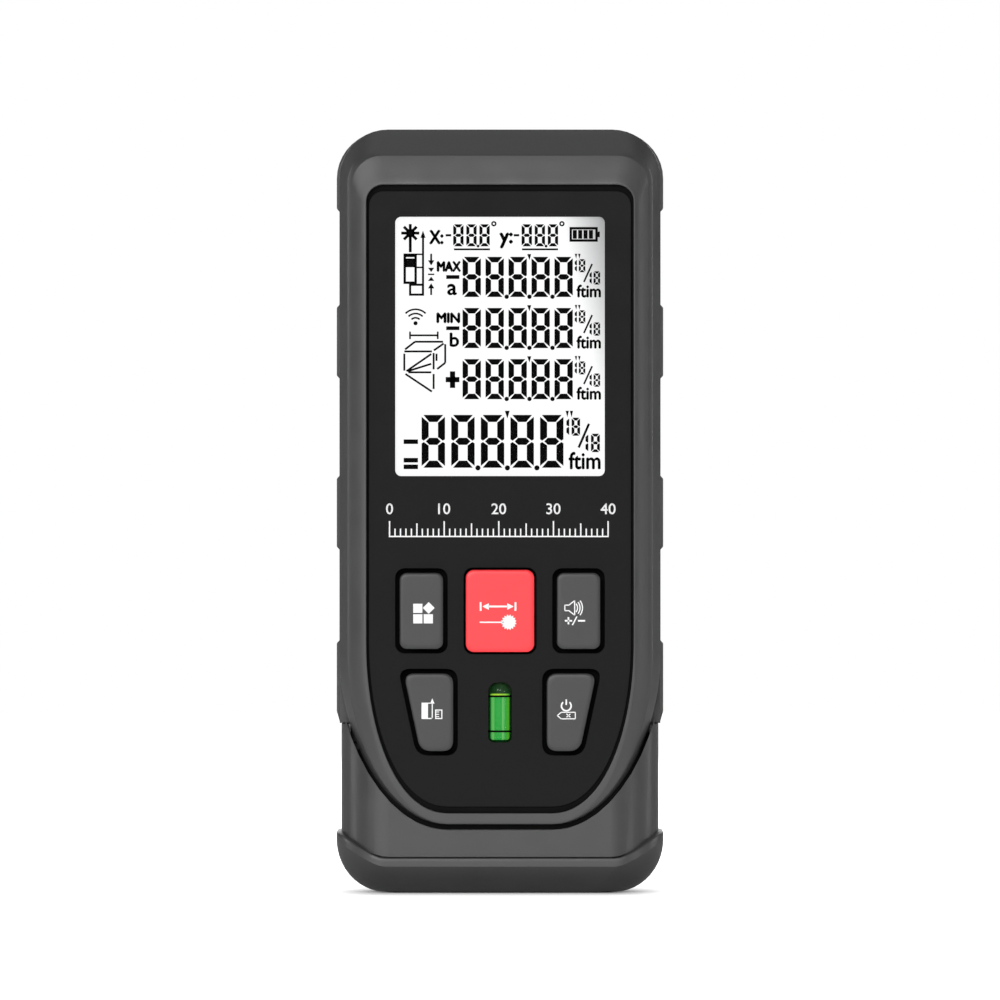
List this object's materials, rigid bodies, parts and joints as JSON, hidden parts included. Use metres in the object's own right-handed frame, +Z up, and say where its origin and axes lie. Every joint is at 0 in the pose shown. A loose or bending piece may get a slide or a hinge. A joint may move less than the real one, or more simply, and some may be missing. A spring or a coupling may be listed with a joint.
{
  "type": "laser distance meter",
  "caption": "Handheld laser distance meter with a display, a keypad, a bubble level, rubber grips and a battery door.",
  "frame": {"origin": "centre of the measuring end, the flat face that the meter stands on", "axes": "+Z up the body towards the laser end, -Y out of the display and keys, +Y out of the battery door, +X to the right as the display is read"},
  "size_m": [0.05, 0.027, 0.1166],
  "materials": {
    "dark_rubber": "fine matt",
    "band_rubber": "fine matt",
    "shell_plastic": "satin, fine moulded texture",
    "panel_plastic": "smooth satin film",
    "seal_rubber": "matt",
    "clear_window": "clear, polished",
    "key_rubber": "smooth silicone",
    "red_key": "satin",
    "black_plastic": "satin",
    "switch_body": "satin",
    "silicone_mat": "matt",
    "vial_acrylic": "clear, polished",
    "vial_liquid": "clear liquid",
    "print_black": "printed",
    "white_plastic": "satin",
    "lcd": "polished sheet",
    "diffuser": "satin diffuser",
    "polyimide": "satin film",
    "board_green": "solder mask",
    "chip_black": "moulded epoxy",
    "shield_tin": "tinned",
    "screw_steel": "zinc plated",
    "chassis_metal": "black die casting",
    "lens_glass": "polished, coated",
    "brass": "turned",
    "detector_ceramic": "glazed",
    "optics_acrylic": "polished, smoked",
    "label_film": "satin film",
    "cell_sleeve": "shrink film",
    "spring_steel": "nickel plated",
    "lead_insulation": "satin"
  },
  "bodies": {
    "housing": {"front_shell": "shell_plastic", "rear_shell": "shell_plastic", "front_bezel": "dark_rubber", "grip_band": "band_rubber", "base_bumper": "dark_rubber", "front_panel": "panel_plastic", "panel_seal": "seal_rubber", "display_window": "clear_window", "switch_housings": "switch_body", "keypad_seal": "silicone_mat", "vial_tube": "vial_acrylic", "vial_fluid": "vial_liquid", "vial_rings": "print_black", "vial_cradle": "white_plastic", "lcd_glass": "lcd", "backlight": "diffuser", "lcd_carrier": "white_plastic", "display_ribbon": "polyimide", "main_board": "board_green", "processor_chip": "chip_black", "radio_module": "shield_tin", "tilt_sensor": "chip_black", "buzzer": "chip_black", "board_screws": "screw_steel", "optics_chassis": "chassis_metal", "receiver_lens": "lens_glass", "laser_barrel": "brass", "laser_lens": "lens_glass", "receiver_board": "board_green", "receiver_diode": "detector_ceramic", "receiver_ribbon": "polyimide", "optics_screws": "screw_steel", "optics_window": "optics_acrylic", "tripod_insert": "brass", "rear_label": "label_film", "battery_left": "cell_sleeve", "battery_right": "cell_sleeve", "battery_springs": "spring_steel", "battery_link_plate": "spring_steel", "battery_terminals": "spring_steel", "battery_leads": "lead_insulation", "housing_screws": "screw_steel"},
    "menu_key": {"menu_key": "key_rubber", "menu_plunger": "black_plastic"},
    "measure_key": {"measure_key": "red_key", "measure_plunger": "black_plastic"},
    "sound_key": {"sound_key": "key_rubber", "sound_plunger": "black_plastic"},
    "reference_key": {"reference_key": "key_rubber", "reference_plunger": "black_plastic"},
    "power_key": {"power_key": "key_rubber", "power_plunger": "black_plastic"},
    "door": {"battery_door": "shell_plastic"},
    "latch": {"door_latch": "black_plastic"}
  },
  "joints": [
    {"name": "menu_press", "type": "slide", "parent": "housing", "child": "menu_key", "axis": [0, 1, 0], "range_m": [0, 0.0004], "stiffness_N_per_m": 3000, "springref_m": -0.0002},
    {"name": "measure_press", "type": "slide", "parent": "housing", "child": "measure_key", "axis": [0, 1, 0], "range_m": [0, 0.0004], "stiffness_N_per_m": 3000, "springref_m": -0.0002},
    {"name": "sound_press", "type": "slide", "parent": "housing", "child": "sound_key", "axis": [0, 1, 0], "range_m": [0, 0.0004], "stiffness_N_per_m": 3000, "springref_m": -0.0002},
    {"name": "reference_press", "type": "slide", "parent": "housing", "child": "reference_key", "axis": [0, 1, 0], "range_m": [0, 0.0004], "stiffness_N_per_m": 3000, "springref_m": -0.0002},
    {"name": "power_press", "type": "slide", "parent": "housing", "child": "power_key", "axis": [0, 1, 0], "range_m": [0, 0.0004], "stiffness_N_per_m": 3000, "springref_m": -0.0002},
    {"name": "door_hinge", "type": "hinge", "parent": "housing", "child": "door", "pos_m": [0, 0.0127, 0.0606], "axis": [1, 0, 0], "range_deg": [0, 70]},
    {"name": "latch_slide", "type": "slide", "parent": "door", "child": "latch", "axis": [0, 0, 1], "range_m": [0, 0.0012]}
  ]
}
